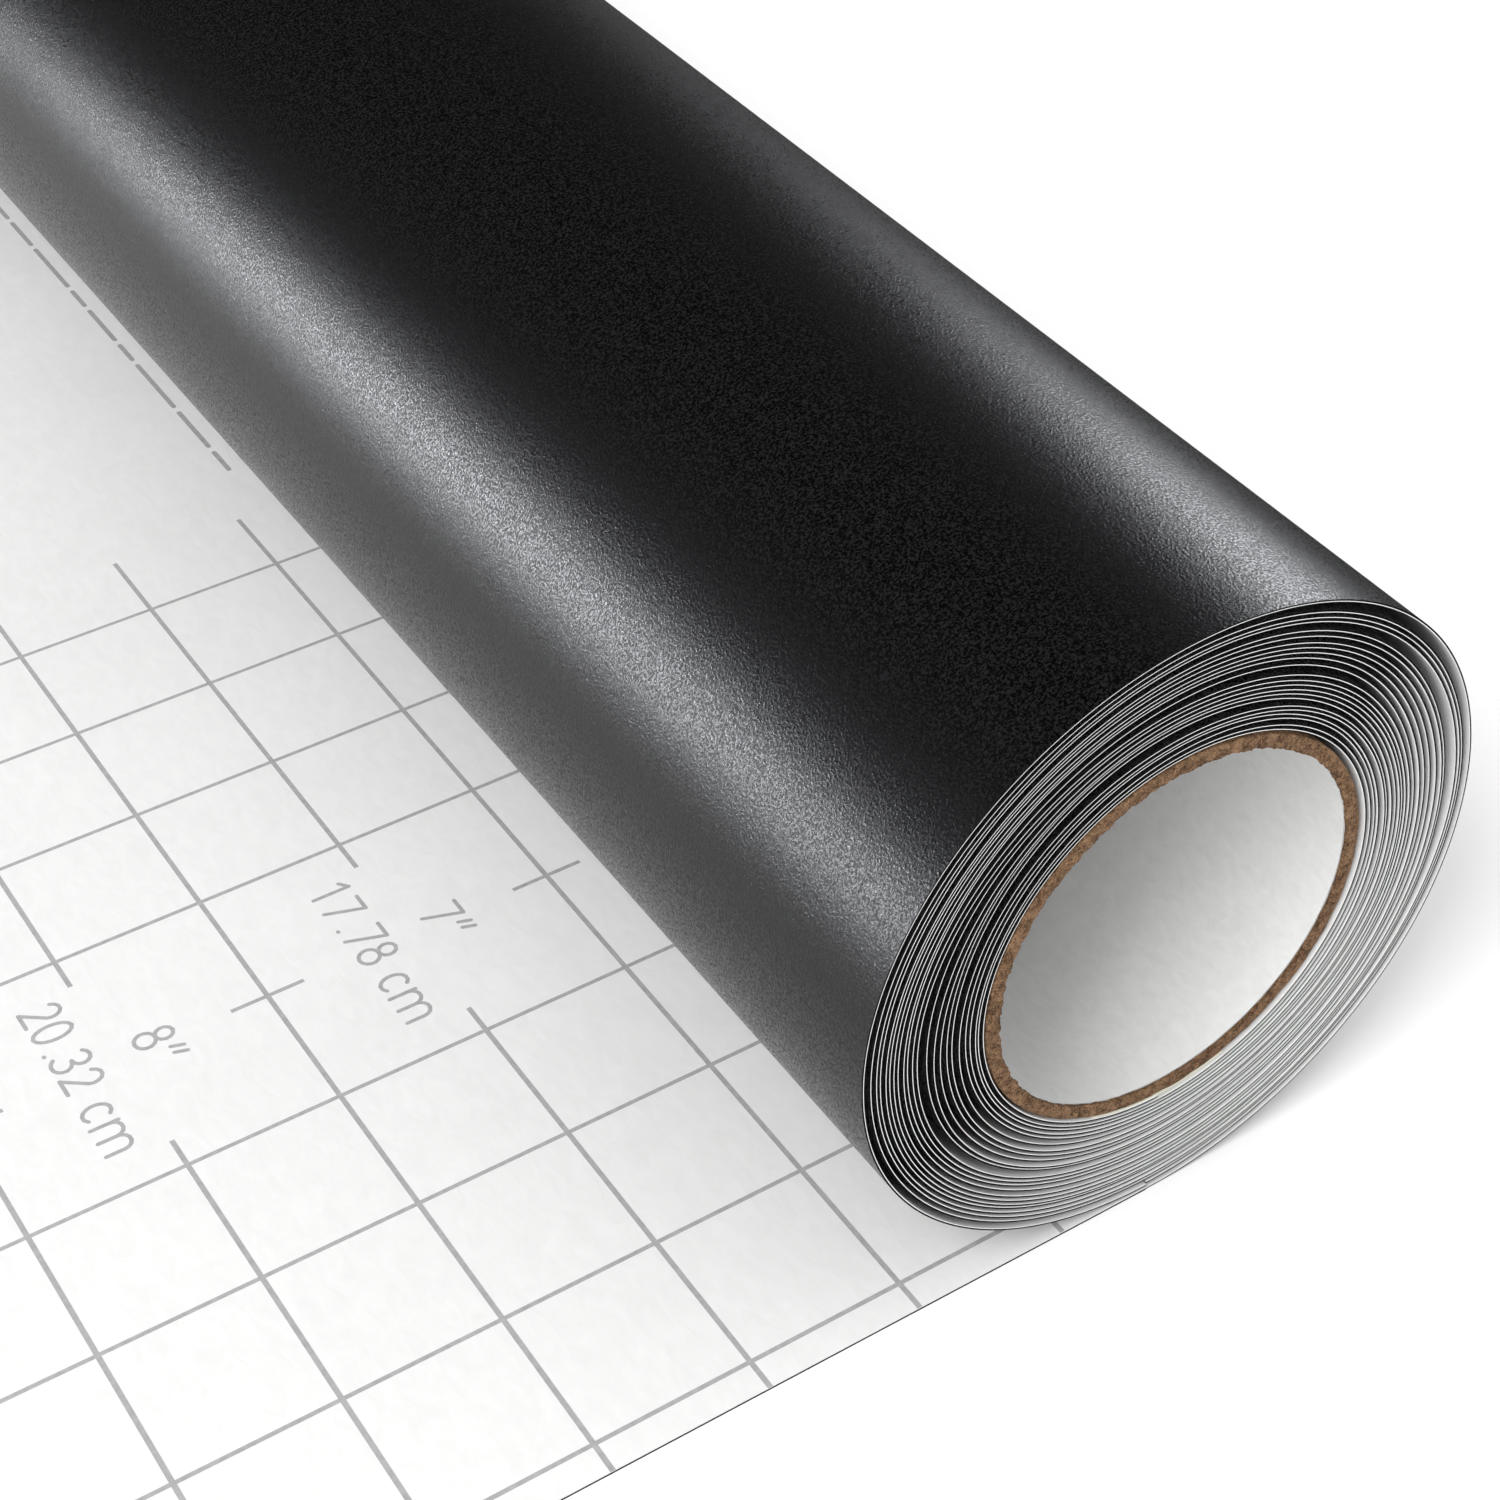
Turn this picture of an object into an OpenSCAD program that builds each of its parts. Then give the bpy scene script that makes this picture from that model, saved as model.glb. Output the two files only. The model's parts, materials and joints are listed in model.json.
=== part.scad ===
// Roll of self-adhesive sign vinyl, partly unrolled, lying on a flat surface.
// Millimetres. The origin is the centre of the core's bore, halfway along the roll.
// +Y runs along the roll, -X along the unrolled sheet, +Z up.

/* [Web: vinyl film on its release liner] */
// Width of the web, which is the roll's length
web_w = 304.8; // [150:0.1:610]
// Thickness of the vinyl film with its adhesive
film_t = 0.09; // [0.06:0.01:0.12]
// Thickness of the paper release liner
liner_t = 0.09; // [0.08:0.01:0.16]

/* [Roll] */
// Radius of the roll at its outermost turn
roll_r = 26.3; // [26:0.1:27]
// Number of turns wound under the outermost one
wound_turns = 22; // [8:1:22]
// Share of a turn's pitch by which the gaps between turns vary
gap_wander = 0.2; // [0:0.05:0.25]
// Gap between the outermost turn and what is next to it
running_gap = 0.2; // [0.12:0.01:0.25]

/* [Core] */
// Outer diameter of the kraft board core
core_od = 32.3; // [31.5:0.1:32.3]
// Diameter of the bore inside the white lining
core_id = 29.9; // [28:0.1:30]
// Thickness of the white paper that lines the bore
lining_t = 0.2; // [0.1:0.05:0.3]
// Number of kraft board plies in the core's wall
kraft_plies = 3; // [2:1:4]

/* [Start tape] */
// Width of the tape that holds the web to the core, measured round the core
tape_w = 12; // [6:1:25]
// Thickness of the tape
tape_t = 0.1; // [0.08:0.01:0.12]

/* [Unrolled sheet] */
// Length of sheet that lies unrolled, from under the roll's axis to the free end
laid_l = 180; // [110:1:260]
// Length of the free end that lifts
end_l = 30; // [26:1:60]
// Length of liner at the free end that peels off the film
peel_l = 22; // [10:1:24]

/* [Hidden] */
$fn = 96;

web_t = film_t + liner_t;
core_r = core_od / 2;
bore_r = core_id / 2;
ply_t = (core_r - bore_r - lining_t) / kraft_plies;

// Every turn is two half circles, and the left one is half a pitch smaller, so the web
// spirals inwards and its halves meet smoothly at the top and the bottom.
outer_pitch = web_t + running_gap;
floor_z = -outer_pitch / 2 - roll_r;

// Pitches keep to whole steps, so that the two halves of a turn meet exactly.
pitch_step = 0.004;
function stepped(x) = floor(x / pitch_step) * pitch_step;

// The wound turns spin inside the outermost one.
wound_r = roll_r - outer_pitch / 2 - web_t - running_gap;
mean_pitch = (wound_r - web_t - core_r - tape_t) / wound_turns;
right_z = -stepped(mean_pitch) / 4;

// How the winding tension wandered: bunched and open turns that average out over the roll.
bunch_waves = 5;
ripple_waves = 8;
bunch_share = 0.6;
function wander(k) =
    bunch_share * sin(360 * bunch_waves * k / wound_turns)
    + (1 - bunch_share) * sin(360 * ripple_waves * k / wound_turns + 40);

// Turn 1 is the outermost of the wound turns.
function pitch(k) = stepped(mean_pitch * (1 + gap_wander * wander(k)));
function turn_r(k) = k == 1 ? wound_r + right_z : turn_r(k - 1) - pitch(k - 1);

film_colour = [0.06, 0.06, 0.065];
liner_colour = [0.95, 0.95, 0.94];
kraft_colour = [0.55, 0.39, 0.25];
tape_colour = [0.85, 0.84, 0.78];

// A shape drawn across the roll, in X and Z, made as long as the web is wide.
module along_roll() rotate([90, 0, 0]) linear_extrude(web_w, center = true) children();

module ring(r, t) difference() {
    circle(r);
    circle(r - t);
}

module tube(r, t) along_roll() ring(r, t);

// Half of a ring: the right one (side 1) or the left one (side -1).
module half_ring(r, t, centre_z, side)
    translate([0, centre_z])
        intersection() {
            ring(r, t);
            translate([side * r, 0]) square([2 * r, 4 * r], center = true);
        }

// One turn of a layer: r is the web's outer radius on the right, depth how far the layer lies below it.
module turn(r, pitch, centre_z, depth, t)
    along_roll() {
        half_ring(r - depth, t, centre_z, 1);
        half_ring(r - pitch / 2 - depth, t, centre_z + pitch / 2, -1);
    }

// A flat strip of the web: its two ends in X, height above the surface, and thickness.
module strip(x_from, x_to, height, t)
    translate([x_from, -web_w / 2, floor_z + height]) cube([x_to - x_from, web_w, t]);

module core_lining() color("white") tube(bore_r + lining_t, lining_t);

// Ply 1 is the innermost.
module core_ply(k) color(kraft_colour) tube(bore_r + lining_t + k * ply_t, ply_t);

// The tape lies round the underside of the core, where the web's inner end is.
module start_tape() {
    half_sweep = tape_w / core_r * 90 / PI;
    reach = 2 * core_r * [sin(half_sweep), -cos(half_sweep)];
    color(tape_colour)
        along_roll()
            intersection() {
                ring(core_r + tape_t, tape_t);
                polygon([[0, 0], [-reach.x, reach.y], reach]);
            }
}

module film_turn(k) color(film_colour) turn(turn_r(k), pitch(k), right_z, 0, film_t);

module liner_turn(k) color(liner_colour) turn(turn_r(k), pitch(k), right_z, film_t, liner_t);

module film_outer_turn() color(film_colour) turn(roll_r, outer_pitch, -outer_pitch / 2, 0, film_t);

module liner_outer_turn() color(liner_colour) turn(roll_r, outer_pitch, -outer_pitch / 2, film_t, liner_t);

module film_laid() color(film_colour) strip(end_l - laid_l, 0, 0, film_t);

module liner_laid() color(liner_colour) strip(end_l - laid_l, 0, film_t, liner_t);

module film_free_end() color(film_colour) strip(-laid_l, end_l - laid_l, 0, film_t);

module liner_free_end() color(liner_colour) strip(peel_l - laid_l, end_l - laid_l, film_t, liner_t);

module liner_peeled_end() color(liner_colour) strip(-laid_l, peel_l - laid_l, film_t, liner_t);

core_lining();
for (k = [1:kraft_plies]) core_ply(k);
start_tape();
for (k = [1:wound_turns]) film_turn(k);
for (k = [1:wound_turns]) liner_turn(k);
film_outer_turn();
liner_outer_turn();
film_laid();
liner_laid();
film_free_end();
liner_free_end();
liner_peeled_end();
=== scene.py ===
import json
import math

import bpy
import numpy as np
from mathutils import Euler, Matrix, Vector, noise


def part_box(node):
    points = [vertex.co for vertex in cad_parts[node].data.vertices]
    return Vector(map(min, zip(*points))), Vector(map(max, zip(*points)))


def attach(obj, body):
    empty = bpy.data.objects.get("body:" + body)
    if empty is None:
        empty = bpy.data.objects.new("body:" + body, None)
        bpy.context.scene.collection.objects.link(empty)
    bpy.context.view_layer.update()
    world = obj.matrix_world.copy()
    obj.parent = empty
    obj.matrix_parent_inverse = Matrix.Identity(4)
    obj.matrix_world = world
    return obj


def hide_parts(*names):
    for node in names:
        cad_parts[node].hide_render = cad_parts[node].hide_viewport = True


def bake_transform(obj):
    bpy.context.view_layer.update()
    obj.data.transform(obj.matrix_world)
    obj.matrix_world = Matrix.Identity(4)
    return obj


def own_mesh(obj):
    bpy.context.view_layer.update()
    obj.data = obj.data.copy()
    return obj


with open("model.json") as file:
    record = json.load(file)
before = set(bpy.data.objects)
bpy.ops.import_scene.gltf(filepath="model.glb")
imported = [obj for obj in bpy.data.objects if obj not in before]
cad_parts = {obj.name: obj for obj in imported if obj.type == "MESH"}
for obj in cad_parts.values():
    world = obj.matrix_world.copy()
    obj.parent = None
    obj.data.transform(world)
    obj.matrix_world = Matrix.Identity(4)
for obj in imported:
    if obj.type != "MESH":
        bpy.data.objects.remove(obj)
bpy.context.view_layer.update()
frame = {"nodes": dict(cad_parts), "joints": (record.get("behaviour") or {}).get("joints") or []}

# A partly unrolled roll of black sign vinyl. Everything is in metres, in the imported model's frame:
# +Y along the roll, -X along the unrolled sheet, +Z up.
MM = 0.001

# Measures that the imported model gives.
film_lo, film_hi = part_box("film_laid")
liner_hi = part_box("liner_laid")[1]
floor_z, film_top, liner_top = film_lo.z, film_hi.z, liner_hi.z
half_w = film_hi.y
film_t, web_t = film_top - floor_z, liner_top - floor_z
sheet_end_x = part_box("film_free_end")[0].x
joints = {j["name"]: j for j in frame["joints"]}
taken_up_x = min(joints["roll_travel"]["range_m"])
peel_x = joints["liner_peel"]["pos_m"][0]

# Radii of part.scad. A meshed circle's box falls short of them.
OUTER_R = 26.3 * MM
SNUG_GAP = 0.1 * MM  # between the outermost turn and the next, half of part.scad's
DRAG = 0.035 * MM  # how far the knife dragged the film's edge over the liner's
CORE_R = 16.15 * MM
LINING_R = 15.15 * MM
BORE_R = 14.95 * MM
TAPE_T = 0.1 * MM
WOUND_TURNS = 22
outer_step = -2 * (floor_z + OUTER_R)
wound_r = OUTER_R - outer_step / 2 - web_t - SNUG_GAP
pitch = (wound_r - web_t - CORE_R - TAPE_T) / WOUND_TURNS


# ---------------------------------------------------------------- materials
class Look:
    """A procedural material on the principled shader, with its pattern in the piece's own coordinates."""

    def __init__(self, name, roughness, **sockets):
        self.material = bpy.data.materials.new(name)
        self.material.use_nodes = True
        self.tree = self.material.node_tree
        self.shader = self.tree.nodes["Principled BSDF"]
        self.shader.inputs["Roughness"].default_value = roughness
        for socket, value in sockets.items():
            self.shader.inputs[socket.replace("_", " ")].default_value = value
        self.place = self.add("ShaderNodeTexCoord").outputs["Object"]

    def add(self, kind, inputs=None, **settings):
        node = self.tree.nodes.new(kind)
        for key, value in settings.items():
            setattr(node, key, value)
        for key, value in (inputs or {}).items():
            if isinstance(value, bpy.types.NodeSocket):
                self.tree.links.new(value, node.inputs[key])
            else:
                node.inputs[key].default_value = value
        return node

    def stretched(self, scale):
        return self.add("ShaderNodeMapping", {"Vector": self.place, "Scale": scale}).outputs[0]

    def noise(self, scale, detail=3.0, rough=0.55, distortion=0.0, place=None):
        inputs = {"Vector": place or self.place, "Scale": scale, "Detail": detail, "Roughness": rough}
        return self.add("ShaderNodeTexNoise", {**inputs, "Distortion": distortion}).outputs["Fac"]

    def cells(self, scale):
        inputs = {"Vector": self.place, "Scale": scale}
        return self.add("ShaderNodeTexVoronoi", inputs, feature="SMOOTH_F1").outputs["Distance"]

    def to_range(self, value, low, high, start=0.3, stop=0.7):
        inputs = {"Value": value, "From Min": start, "From Max": stop, "To Min": low, "To Max": high}
        return self.add("ShaderNodeMapRange", inputs).outputs[0]

    def maths(self, operation, a, b):
        return self.add("ShaderNodeMath", {0: a, 1: b}, operation=operation).outputs[0]

    def colour(self, value, dark, light):
        ramp = self.add("ShaderNodeValToRGB", {"Fac": value})
        ramp.color_ramp.elements[0].position, ramp.color_ramp.elements[1].position = 0.3, 0.7
        ramp.color_ramp.elements[0].color, ramp.color_ramp.elements[1].color = (*dark, 1), (*light, 1)
        return ramp.outputs["Color"]

    def bump(self, height, distance, strength=1.0):
        node = self.add("ShaderNodeBump", {"Height": height, "Distance": distance, "Strength": strength})
        self.wire(node.outputs[0], "Normal")

    def wire(self, output, socket):
        self.tree.links.new(output, self.shader.inputs[socket])


def vinyl_look():
    """Satin black film with a leather-like grain of about a third of a millimetre. Its base colour carries painted
    glints on the grain's tops and painted shade in its creases.
    """
    look = Look("black_vinyl", 0.4, IOR=1.31)
    creases = look.noise(5200, 3.0, 0.6, 0.3)
    pebbles = look.cells(4600)
    look.bump(look.maths("ADD", creases, look.maths("MULTIPLY", pebbles, 0.4)), 0.034 * MM)
    # Painted light: the base colour is lighter on the grain's raised tops (painted glints) and black in its crease
    # valleys (painted shade).
    tone = look.to_range(creases, 0.3, 0.7, 0.44, 0.6)
    look.wire(look.colour(tone, (0.0, 0.0, 0.0), (0.012, 0.012, 0.013)), "Base Color")
    look.wire(look.to_range(creases, 0.46, 0.08, 0.4, 0.6), "Roughness")
    return look.material


def liner_look():
    """White coated release paper with a faint crepe of short wavy dashes."""
    look = Look("release_paper", 0.62, IOR=1.4)
    crepe = look.noise(900, 4.0, 0.6, 0.8, look.stretched((1.0, 0.42, 1.0)))
    look.bump(look.maths("ADD", crepe, look.maths("MULTIPLY", look.noise(160, 2.0), 0.8)), 0.03 * MM, 0.6)
    dashes = look.maths("MULTIPLY", crepe, 0.7)
    clouds = look.maths("MULTIPLY", look.noise(35, 3.0), 0.3)
    look.wire(look.colour(look.maths("ADD", dashes, clouds), (0.72, 0.72, 0.716), (0.785, 0.785, 0.781)), "Base Color")
    return look.material


def ink_look():
    look = Look("grey_ink", 0.7, IOR=1.4)
    look.wire(look.colour(look.noise(1600, 3.0), (0.33, 0.33, 0.335), (0.41, 0.41, 0.415)), "Base Color")
    return look.material


def kraft_look():
    """Brown board: pulp fibres of several tones, fuzzy and matt."""
    look = Look("kraft_board", 0.95, IOR=1.35)
    fibres = look.noise(7200, 4.0, 0.75, 1.0)
    flecks = look.noise(1500, 3.0, 0.6, 0.6)
    look.bump(fibres, 0.10 * MM, 1.0)
    tone = look.maths("ADD", look.maths("MULTIPLY", fibres, 0.7), look.maths("MULTIPLY", flecks, 0.3))
    tone = look.to_range(tone, 0.3, 0.7, 0.42, 0.6)
    look.wire(look.colour(tone, (0.04, 0.018, 0.008), (0.325, 0.193, 0.106)), "Base Color")
    return look.material


def lining_look():
    """Smooth white paper with a faint weave of fibres."""
    look = Look("core_lining_paper", 0.8, IOR=1.4)
    fibres = look.noise(1300, 3.0, 0.6, 0.6, look.stretched((1.0, 0.6, 1.0)))
    look.bump(fibres, 0.014 * MM, 0.7)
    look.wire(look.colour(fibres, (0.62, 0.62, 0.615), (0.68, 0.68, 0.675)), "Base Color")
    return look.material


def tape_look():
    look = Look("start_tape", 0.5, IOR=1.45)
    look.bump(look.noise(500, 3.0), 0.03 * MM, 0.6)
    look.wire(look.colour(look.noise(90, 3.0), (0.62, 0.60, 0.50), (0.72, 0.70, 0.60)), "Base Color")
    return look.material


def floor_look():
    """White to the eye and as a bounce, but dark grey in the film's reflection: painted shade in the reflections of
    the floor.
    """
    look = Look("pale_floor", 0.9, Specular_IOR_Level=0.0)
    reflected = look.add("ShaderNodeLightPath").outputs["Is Glossy Ray"]
    white = look.colour(look.noise(3.0, 2.0), (0.93, 0.93, 0.93), (0.95, 0.95, 0.95))
    mix = look.add("ShaderNodeMix", data_type="RGBA")
    look.tree.links.new(reflected, mix.inputs[0])
    look.tree.links.new(white, mix.inputs[6])
    # Painted shade: in glossy rays the floor is dark grey, so the film reflects a darker floor than the one that is
    # seen.
    mix.inputs[7].default_value = (0.06, 0.06, 0.06, 1)
    look.wire(mix.outputs[2], "Base Color")
    return look.material


vinyl, liner, ink = vinyl_look(), liner_look(), ink_look()


# ---------------------------------------------------------------- meshes
def piece(name, vertices, faces, material, sharp=35):
    mesh = bpy.data.meshes.new(name)
    mesh.from_pydata([tuple(v) for v in vertices], [], faces)
    mesh.update()
    mesh.shade_smooth()
    mesh.set_sharp_from_angle(angle=math.radians(sharp))
    mesh.materials.append(material)
    obj = bpy.data.objects.new(name, mesh)
    bpy.context.scene.collection.objects.link(obj)
    return obj


def web(name, upper, lower, columns, material, near_shift=None):
    """A closed layer of the web: two faces, each a line of (x, z) points drawn along the roll, and the rims
    between them. A face may also be a function that gives the line at a y."""
    n, m = len(upper(0.0) if callable(upper) else upper), len(columns)
    shift = np.zeros(n) if near_shift is None else near_shift
    vertices = []
    for face in (upper, lower):
        for column, y in enumerate(columns):
            line = face(y) if callable(face) else face
            ys = np.full(n, y) + (shift if column == 0 else 0)
            vertices.append(np.column_stack([line[:, 0], ys, line[:, 1]]))
    at = np.arange(2 * m * n).reshape(2, m, n)
    faces = []
    for c in range(m - 1):
        for k in range(n - 1):
            faces.append((at[0, c, k], at[0, c + 1, k], at[0, c + 1, k + 1], at[0, c, k + 1]))
            faces.append((at[1, c, k], at[1, c, k + 1], at[1, c + 1, k + 1], at[1, c + 1, k]))
    for k in range(n - 1):
        faces.append((at[0, 0, k], at[0, 0, k + 1], at[1, 0, k + 1], at[1, 0, k]))
        faces.append((at[0, m - 1, k], at[1, m - 1, k], at[1, m - 1, k + 1], at[0, m - 1, k + 1]))
    for c in range(m - 1):
        faces.append((at[0, c, 0], at[1, c, 0], at[1, c + 1, 0], at[0, c + 1, 0]))
        faces.append((at[0, c, n - 1], at[0, c + 1, n - 1], at[1, c + 1, n - 1], at[1, c, n - 1]))
    faces = [tuple(int(i) for i in face) for face in faces]
    return piece(name, np.vstack(vertices), faces, material)


def length_of(line):
    return float(np.linalg.norm(np.diff(line, axis=0), axis=1).sum())


# ---------------------------------------------------------------- the roll
END_COLUMNS = [-half_w, -half_w + MM, 0.0, half_w - MM, half_w]
BULGE_AT, BULGE_REACH = 48, 58  # degrees round the roll from +X: the bulge's middle and half of its width


def outer_turn(depth, slack=0.0):
    """The outermost turn, from the laid sheet round to where the wound turns start under it.
    It stands off by up to the slack at the upper right."""
    degrees = np.linspace(-90, 270, 433)
    angle = np.radians(degrees)
    right = angle <= math.pi / 2
    bulge = np.radians(np.clip((degrees - BULGE_AT) * 90 / BULGE_REACH, -90, 90))
    loose = slack * np.cos(bulge) ** 2
    r = np.where(right, OUTER_R, OUTER_R - outer_step / 2) - depth + loose
    return np.column_stack([r * np.cos(angle), np.where(right, -outer_step / 2, 0) + r * np.sin(angle)])


STEPS = 180  # points in one turn
# Gaps that stand wide open: where, counted in turns inwards, over how much of a turn, and how wide.
OPEN_GAPS = (
    (2.28, 0.2, 0.8), (5.3, 0.18, 0.5), (9.33, 0.2, 0.8),
    (10.68, 0.3, 0.9), (15.66, 0.3, 0.6), (17.3, 0.2, 0.9),
)


def eased(x):
    x = np.clip(x, 0, 1)
    return x * x * (3 - 2 * x)


def wound_radius():
    """The web's outer radius at each step inwards. The gaps bunch and open as the winding tension wandered."""
    turn = np.arange((WOUND_TURNS - 1) * STEPS) / STEPS
    angle = 2 * math.pi * turn
    places = np.column_stack([0.55 * np.cos(angle), 0.55 * np.sin(angle), 1.9 * turn + 4.1])
    uneven = np.array([noise.noise(Vector(place)) for place in places])
    for middle, width, wide in OPEN_GAPS:
        uneven += wide * np.exp(-(((turn - middle) / width) ** 2))
    uneven *= eased(turn / 1.2) * eased((WOUND_TURNS - 1 - turn) / 1.2)
    share = np.exp(1.5 * uneven).reshape(WOUND_TURNS - 1, STEPS)
    gaps = (share / share.mean(axis=0) * (pitch - web_t)).ravel()
    r = np.empty(WOUND_TURNS * STEPS + 1)
    r[:STEPS] = wound_r - pitch * np.arange(STEPS) / STEPS
    for k in range(STEPS, len(r) - 1):
        r[k] = r[k - STEPS] - web_t - gaps[k - STEPS]
    r[-1] = r[-1 - STEPS] - pitch
    return r


def wound_turns(depth):
    r = wound_radius() - depth
    angle = math.radians(-90) + 2 * math.pi * np.arange(len(r)) / STEPS
    return np.column_stack([r * np.cos(angle), r * np.sin(angle)])


turn = np.arange(WOUND_TURNS * STEPS + 1) / STEPS
waver = np.sin(2.3 * turn) + np.sin(2 * math.pi * 1.31 * turn) + 0.7 * np.sin(2 * math.pi * 0.43 * turn + 1)
near_edge = 0.03 * MM * waver
outside, between, inside = wound_turns(0), wound_turns(film_t + DRAG), wound_turns(web_t)
wound_film = web("film_wound", outside, between, END_COLUMNS, vinyl, near_edge)
wound_liner = web("liner_wound", between, inside, END_COLUMNS, liner, near_edge)
wound_length = length_of(wound_turns(web_t / 2))
for obj, layer in ((wound_film, "film"), (wound_liner, "liner")):
    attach(obj, "wound_roll")
    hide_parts(*[f"{layer}_turn_{k}" for k in range(1, WOUND_TURNS + 1)])

SLACK_NEAR, SLACK_FAR = 0.45 * MM, 0.9 * MM  # how far the outermost turn stands off at the roll's two ends


def loose_turn(depth):
    """The outermost turn's line as a function of y. It stands off more towards the far end."""
    return lambda y: outer_turn(depth, SLACK_NEAR + (SLACK_FAR - SLACK_NEAR) * (y + half_w) / (2 * half_w))


outside, between, inside = loose_turn(0), loose_turn(film_t + DRAG), loose_turn(web_t)
outer_film = web("film_outer", outside, between, END_COLUMNS, vinyl)
outer_liner = web("liner_outer", between, inside, END_COLUMNS, liner)
for obj, layer in ((outer_film, "film"), (outer_liner, "liner")):
    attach(obj, "unwinding_turn")
    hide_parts(f"{layer}_outer_turn")


# ---------------------------------------------------------------- the laid sheet
FILM_PROUD = 0.05 * MM  # the black film shows as a line along the liner's near edge
BEND_ROW = 0.125 * MM  # between the rows of points of a layer that bends, so that its print stays on it


def strip(name, x_from, x_to, bottom, top, material, slot, row):
    """A flat stretch of one layer, with a row of points at every step of length row along it."""
    xs = np.linspace(x_from, x_to, round((x_to - x_from) / row) + 1)
    line = np.column_stack([xs, np.full(len(xs), top)])
    under = np.column_stack([xs, np.full(len(xs), bottom)])
    proud = FILM_PROUD if slot == "vinyl_film" else 0.0
    return web(name, line[::-1], under[::-1], END_COLUMNS, material, np.full(len(xs), -proud))


def lift_bend(obj):
    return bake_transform(obj)


def peel_bend(obj):
    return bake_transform(obj)


def taken_up(obj):
    """What the roll winds up as it travels. It goes on the laid sheet's body, with a mesh of its own."""
    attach(obj, "laid_sheet")
    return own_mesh(obj)


FILM = (floor_z, film_top, vinyl, "vinyl_film")
LINER = (film_top, liner_top, liner, "release_liner")
LAYERS = (
    ("film_taken_up", taken_up_x, 0.0, FILM, taken_up, ["film_laid"]),
    ("liner_taken_up", taken_up_x, 0.0, LINER, taken_up, ["liner_laid"]),
    ("film_sheet_end", sheet_end_x, taken_up_x, FILM, lift_bend, ["film_laid", "film_free_end"]),
    ("liner_sheet_end", peel_x, taken_up_x, LINER, lift_bend, ["liner_laid", "liner_free_end"]),
    ("liner_peeled", sheet_end_x, peel_x, LINER, peel_bend, ["liner_peeled_end"]),
)
for name, x_from, x_to, layer, moves, nodes in LAYERS:
    obj = strip(name, x_from, x_to, *layer, MM if moves is taken_up else BEND_ROW)
    moves(obj)
    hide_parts(*nodes)


# ---------------------------------------------------------------- the liner's print
# A half-inch grid with an inch and a centimetre figure at each inch, counted away from the roll.
CELL = 12.7 * MM
SEVEN_INCH_X = -20.4 * MM
BLOCK_Y = 48.23 * MM  # the grid's inner line; a block lies on either side of the middle
GRID_LINE = 0.42 * MM
CROSS_LINE = 0.36 * MM
FIGURE_H = 3.3 * MM
FIGURE_LINE = 0.34 * MM
INK_T = 0.01 * MM
LINE_STEP = MM  # between the points of a line of the grid
FIGURE_STEP = 0.4 * MM  # between the points of a figure's stroke
BAR_W = 0.5 * MM
BAR_GAP = 1.25 * MM
BARS_X = (-17.6 * MM, -68.4 * MM, -119.2 * MM)


def straight(*points):
    return [np.array(points[k : k + 2], float) for k in range(len(points) - 1)]


def arc(x, y, rx, ry, start, stop):
    angle = np.radians(np.linspace(start, stop, 25))
    return [np.column_stack([x + rx * np.cos(angle), y + ry * np.sin(angle)])]


# Each figure: its strokes and how far the next one stands, as shares of the figures' height.
DIGIT = 0.685
FIGURES = {
    "0": (arc(0.29, 0.5, 0.25, 0.49, 90, 450), DIGIT),
    "1": (straight((0.08, 0.80), (0.30, 0.98), (0.30, 0.0)), DIGIT),
    "2": (
        arc(0.27, 0.71, 0.22, 0.27, 160, -28) + straight((0.464, 0.583), (0.04, 0.02), (0.54, 0.02)),
        DIGIT,
    ),
    "3": (arc(0.24, 0.75, 0.22, 0.23, 150, -90) + arc(0.24, 0.27, 0.26, 0.25, 90, -150), DIGIT),
    "4": (straight((0.42, 0.0), (0.42, 0.98), (0.03, 0.28), (0.57, 0.28)), DIGIT),
    "5": (
        straight((0.50, 0.98), (0.14, 0.98), (0.10, 0.55)) + arc(0.24, 0.30, 0.26, 0.29, 122, -140),
        DIGIT,
    ),
    "6": (arc(0.29, 0.30, 0.25, 0.29, 0, 360) + arc(0.56, 0.34, 0.52, 0.66, 180, 108), DIGIT),
    "7": (straight((0.04, 0.98), (0.54, 0.98), (0.20, 0.0)), DIGIT),
    "8": (arc(0.29, 0.755, 0.20, 0.225, 90, 450) + arc(0.29, 0.265, 0.25, 0.265, 90, 450), DIGIT),
    "9": (arc(0.29, 0.69, 0.25, 0.29, 0, 360) + arc(0.02, 0.65, 0.52, 0.66, 0, -72), DIGIT),
    ".": (straight((0.24, 0.02), (0.26, 0.02)), 0.46),
    " ": ([], 0.42),
    "c": (arc(0.30, 0.36, 0.25, 0.35, 50, 310), 0.69),
    "m": (
        straight((0.06, 0.70), (0.06, 0.0))
        + straight((0.52, 0.47), (0.52, 0.0))
        + straight((0.98, 0.47), (0.98, 0.0))
        + arc(0.29, 0.47, 0.23, 0.24, 180, 0) + arc(0.75, 0.47, 0.23, 0.24, 180, 0),
        1.1,
    ),
    "'": (straight((0.20, 1.0), (0.10, 0.70)), 0.22),
}


def write(text, baseline_x, start_y):
    """Strokes of a line of figures that reads towards -Y, with its top towards +X."""
    strokes, along = [], 0.0
    for figure in text:
        lines, advance = FIGURES[figure]
        for line in lines:
            x = baseline_x + line[:, 1] * FIGURE_H
            y = start_y - (along + line[:, 0]) * FIGURE_H
            strokes.append((np.column_stack([x, y]), FIGURE_LINE))
        along += advance
    return strokes


def inch_x(inch):
    return SEVEN_INCH_X - 2 * CELL * (inch - 7)


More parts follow.
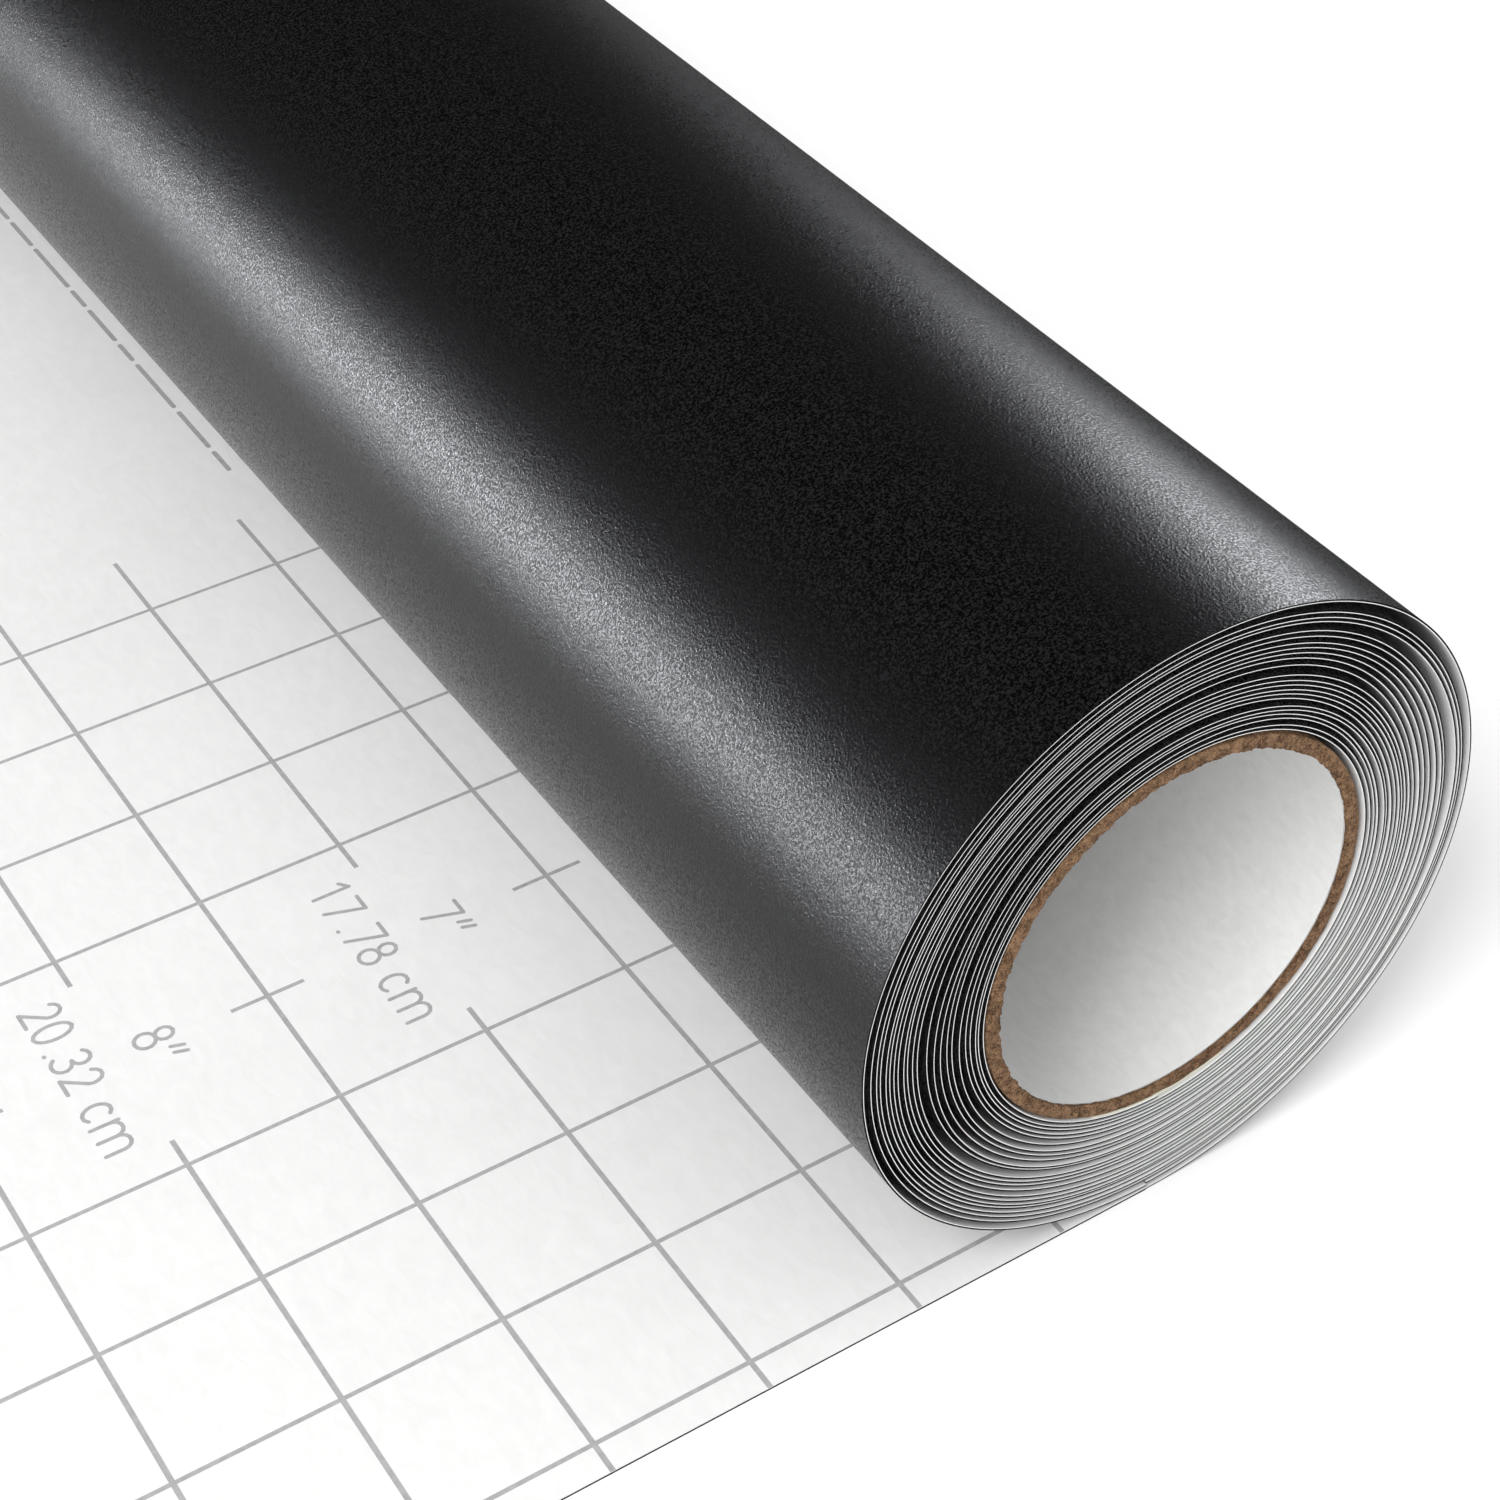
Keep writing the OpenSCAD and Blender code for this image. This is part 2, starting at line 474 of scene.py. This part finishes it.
def labels(inches, kind):
    """The figures of one kind at these inches, in both blocks."""
    strokes = []
    for inch in inches:
        for side in (-1, 1):
            middle = side * (BLOCK_Y + 4 * CELL)
            if kind == "inch":
                start = middle + (0.135 if inch < 10 else 0.225) * CELL
                strokes += write(f"{inch}''", inch_x(inch) - 0.87 * CELL, start)
            else:
                strokes += write(f"{inch * 2.54:.2f} cm", inch_x(inch) - 1.379 * CELL, middle + 0.69 * CELL)
    return strokes


def grid(x_from, x_to):
    """The grid's lines from x_from to x_to, in both blocks. The middle row is open for the figures."""
    strokes = []

    def rule(x_start, v_start, x_stop, v_stop, width):
        """A line between two places, v in squares out from a block's inner line."""
        ends = [(x_start, side * (BLOCK_Y + v_start * CELL)), (x_stop, side * (BLOCK_Y + v_stop * CELL))]
        strokes.append((np.array(ends), width))

    overhang, edge = -0.65, (half_w - BLOCK_Y) / CELL  # where the lines across the sheet start and stop
    for side in (-1, 1):
        for v in (0, 1, 2, 3, 5, 6, 7, 8):
            rule(x_from, v, x_to, v, CROSS_LINE)
        for u in range(2, -14, -1):
            x = SEVEN_INCH_X + u * CELL
            if not x_from <= x < x_to:
                continue
            at_inch = u % 2 == 0
            for v_from, v_to in [(overhang, edge)] if at_inch else [(overhang, 3.256), (4.774, edge)]:
                rule(x, v_from, x, v_to, GRID_LINE)
            if at_inch:
                rule(max(x - 0.25 * CELL, x_from), 4, min(x + 0.25 * CELL, x_to), 4, CROSS_LINE)
    return strokes


def word_bars(x):
    """A line of bars between the blocks, where the real liner carries a line of advice."""
    strokes, y = [], 36.0 * MM
    for length in (3.2, 6.9, 5.4, 8.8, 3.3, 6.6, 3.2, 8.9, 7.0, 3.4):
        strokes.append((np.array([(x, y), (x, y - length * MM)]), BAR_W))
        y -= length * MM + BAR_GAP
    return strokes


def ribbon(line, width, round_ends, step):
    """Left and right edges of a stroke, with points at most a step apart. The ends may be round."""
    steps = np.linalg.norm(np.diff(line, axis=0), axis=1)
    reach = np.concatenate([[0], np.cumsum(steps)])
    count = max(2, math.ceil(reach[-1] / step) + 1)
    at = np.linspace(0, reach[-1], count)
    points = np.column_stack([np.interp(at, reach, line[:, k]) for k in (0, 1)])
    ahead = np.gradient(points, axis=0)
    ahead /= np.linalg.norm(ahead, axis=1)[:, None]
    half = np.full(count, width / 2)
    if round_ends:
        turn = np.radians([75, 50, 25])
        first = points[0] - ahead[0] * (width / 2 * np.sin(turn))[:, None]
        last = points[-1] + ahead[-1] * (width / 2 * np.sin(turn[::-1]))[:, None]
        points = np.vstack([first, points, last])
        ahead = np.vstack([np.repeat(ahead[:1], 3, 0), ahead, np.repeat(ahead[-1:], 3, 0)])
        half = np.concatenate([width / 2 * np.cos(turn), half, width / 2 * np.cos(turn[::-1])])
    across = np.column_stack([-ahead[:, 1], ahead[:, 0]]) * half[:, None]
    return points + across, points - across


def printed(name, strokes, round_from, bends):
    """All strokes as one piece, each a closed film of ink on the liner. Strokes from round_from on have round ends.
    Neighbours differ in thickness, so do lines along and across the sheet, and figures' strokes get thicker
    along their length: no two faces coincide where strokes cross or close on themselves."""
    vertices, faces = [], []
    for index, (line, width) in enumerate(strokes):
        round_ends = index >= round_from
        step = FIGURE_STEP if round_ends else LINE_STEP
        left, right = ribbon(line, width, round_ends, 2 * BEND_ROW if bends else step)
        n, base = len(left), len(vertices)
        run_x, run_y = abs(line[-1] - line[0])
        slope = 0.08 * np.arange(n) / n if round_ends else np.full(n, 0.1 if run_x > run_y else 0.0)
        ink_top = liner_top + INK_T * (1 + 0.2 * (index % 4) + slope)
        for z in (np.full(n, liner_top), ink_top):
            for edge in (left, right):
                vertices += list(np.column_stack([edge, z]))
        low_l, low_r, top_l, top_r = (base + k * n for k in range(4))
        for k in range(n - 1):
            faces.append((top_l + k, top_r + k, top_r + k + 1, top_l + k + 1))
            faces.append((low_l + k, low_l + k + 1, low_r + k + 1, low_r + k))
            faces.append((low_l + k, top_l + k, top_l + k + 1, low_l + k + 1))
            faces.append((low_r + k, low_r + k + 1, top_r + k + 1, top_r + k))
        faces.append((low_l, low_r, top_r, top_l))
        faces.append((low_l + n - 1, top_l + n - 1, top_r + n - 1, low_r + n - 1))
    return piece(name, vertices, faces, ink)


PRINTS = (
    (
        "print_taken_up", grid(taken_up_x, 0.0),
        labels((7, 8, 9), "inch") + labels((7, 8, 9), "cm") + word_bars(BARS_X[0]) + word_bars(BARS_X[1]),
        taken_up,
    ),
    (
        "print_sheet_end", grid(peel_x, taken_up_x),
        labels((10, 11, 12), "inch") + labels((10, 11), "cm") + word_bars(BARS_X[2]),
        lift_bend,
    ),
    ("print_peeled", grid(sheet_end_x, peel_x), labels((12,), "cm"), peel_bend),
)
for name, lines, figures, moves in PRINTS:
    moves(printed(name, lines + figures, len(lines), moves is not taken_up))


# ---------------------------------------------------------------- the core
def tube(name, rings, material, around=720):
    """A tube from rings of (radius, y) functions of the angle, the last joined to the first."""
    angle = 2 * math.pi * np.arange(around) / around
    vertices = []
    for radius, y in rings:
        r = np.array([radius(a) for a in angle])
        vertices.append(np.column_stack([r * np.cos(angle), [y(a) for a in angle], r * np.sin(angle)]))
    count = len(rings)
    faces = []
    for ring in range(count):
        here, after = ring * around, (ring + 1) % count * around
        for k in range(around):
            ahead = (k + 1) % around
            faces.append((here + k, after + k, after + ahead, here + ahead))
    return piece(name, np.vstack(vertices), faces, material, 50)


def fixed(value):
    return lambda angle: value


def ragged(value, by, waves, seed):
    """A value that wavers round the ring by up to about that much, as torn fibres do."""
    def at(angle):
        place = Vector((math.cos(angle) * waves, math.sin(angle) * waves, seed))
        return value + by * (noise.noise(place) + 0.6 * noise.noise(3.1 * place))
    return at


BOARD_MIDDLE_R = (BORE_R + CORE_R) / 2
board_rings = [(fixed(CORE_R - 0.02 * MM), fixed(half_w - 0.3 * MM))]
for side in (1, -1):
    rim = [
        (
            ragged(CORE_R - 0.05 * MM, 0.03 * MM, 14, 1.5),
            ragged(side * (half_w - 0.08 * MM), 0.05 * MM, 20, 2.5),
        ),
        (fixed(BOARD_MIDDLE_R + 0.22 * MM), ragged(side * half_w, 0.07 * MM, 30, 3.5)),
        (fixed(BOARD_MIDDLE_R - 0.1 * MM), ragged(side * half_w, 0.08 * MM, 34, 4.5)),
        (
            ragged(BORE_R + 0.04 * MM, 0.16 * MM, 26, 5.5),
            ragged(side * (half_w - 0.05 * MM), 0.08 * MM, 26, 6.5),
        ),
        (ragged(BORE_R + 0.09 * MM, 0.08 * MM, 26, 7.5), fixed(side * (half_w - 0.3 * MM))),
        (fixed(LINING_R), fixed(side * (half_w - 0.34 * MM))),
    ]
    board_rings += rim if side > 0 else rim[::-1]
board_rings += [(fixed(CORE_R - 0.02 * MM), fixed(-half_w + 0.3 * MM))]
board = tube("core_board", board_rings, kraft_look())
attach(board, "wound_roll")
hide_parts("core_ply_1", "core_ply_2", "core_ply_3")

lining_end = half_w - 0.36 * MM
lining = tube(
    "core_bore_lining",
    [
        (fixed(LINING_R - 0.02 * MM), fixed(lining_end)),
        (fixed(BORE_R), fixed(lining_end)),
        (fixed(BORE_R), fixed(lining_end - 2 * MM)),
        (fixed(BORE_R), fixed(2 * MM - lining_end)),
        (fixed(BORE_R), fixed(-lining_end)),
        (fixed(LINING_R - 0.02 * MM), fixed(-lining_end)),
    ],
    lining_look(), 288,
)
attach(lining, "wound_roll")
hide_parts("core_lining")

tape = frame["nodes"]["start_tape"]
tape.data.materials.clear()
tape.data.materials.append(tape_look())


# ---------------------------------------------------------------- floor, light and camera
bpy.ops.mesh.primitive_plane_add(size=12, location=(0, 0, floor_z - 0.02 * MM))
floor = bpy.context.object
floor.name = "floor"
floor.data.materials.append(floor_look())


def softbox(name, place, size, power, aim=(0, 0, 0), seen_in_gloss=True, lights_matt=True):
    light = bpy.data.lights.new(name, "AREA")
    light.shape = "RECTANGLE"
    light.size, light.size_y = size
    light.energy = power
    light.color = (1, 1, 1) if lights_matt else (0.94, 0.96, 1)
    obj = bpy.data.objects.new(name, light)
    obj.location = place
    obj.rotation_euler = (Vector(place) - Vector(aim)).to_track_quat("Z", "Y").to_euler()
    obj.visible_camera = False
    obj.visible_glossy = seen_in_gloss
    obj.visible_diffuse = lights_matt
    bpy.context.scene.collection.objects.link(obj)


def from_compass(azimuth, elevation, distance):
    """A place at that distance, azimuth from +Y towards +X and elevation above the horizon, in degrees."""
    a, e = math.radians(azimuth), math.radians(elevation)
    level = distance * math.cos(e)
    return (level * math.sin(a), level * math.cos(a), distance * math.sin(e))


softbox("key", (-1.9, -0.7, 2.1), (1.5, 1.5), 53, seen_in_gloss=False)
softbox("front_fill", (-1.7, -1.7, 1.5), (1.5, 1.5), 24, seen_in_gloss=False)
low = floor_z + 0.03
left = from_compass(-60, 0, 0.66)
softbox("left_strip", (left[0], left[1], low), (0.5, 0.06), 5.6, aim=(0, 0, low), lights_matt=False)
softbox("right_strip", from_compass(62, 18, 3.0), (0.8, 1.1), 42, lights_matt=False)

world = bpy.data.worlds.new("studio")
bpy.context.scene.world = world
world.use_nodes = True
tree = world.node_tree
tree.nodes.clear()
ray = tree.nodes.new("ShaderNodeLightPath")
out = tree.nodes.new("ShaderNodeOutputWorld")


def backdrop(strength):
    node = tree.nodes.new("ShaderNodeBackground")
    node.inputs["Color"].default_value = (1, 1, 1, 1)
    node.inputs["Strength"].default_value = strength
    return node.outputs[0]


def either(which, otherwise, chosen):
    node = tree.nodes.new("ShaderNodeMixShader")
    tree.links.new(which, node.inputs[0])
    tree.links.new(otherwise, node.inputs[1])
    tree.links.new(chosen, node.inputs[2])
    return node.outputs[0]


lit = either(ray.outputs["Is Glossy Ray"], backdrop(0.84), backdrop(0.03))
tree.links.new(either(ray.outputs["Is Camera Ray"], lit, backdrop(1.05)), out.inputs["Surface"])

bpy.context.scene.view_settings.view_transform = "Standard"

camera_data = bpy.data.cameras.new("camera")
camera_data.lens = 70.55
camera_data.clip_start = 0.01
camera = bpy.data.objects.new("camera", camera_data)
camera.location = (-0.10164, -0.25723, 0.14046)
camera.rotation_euler = Euler([math.radians(angle) for angle in (49.137, 0.228, -32.830)])
bpy.context.scene.collection.objects.link(camera)
bpy.context.scene.camera = camera
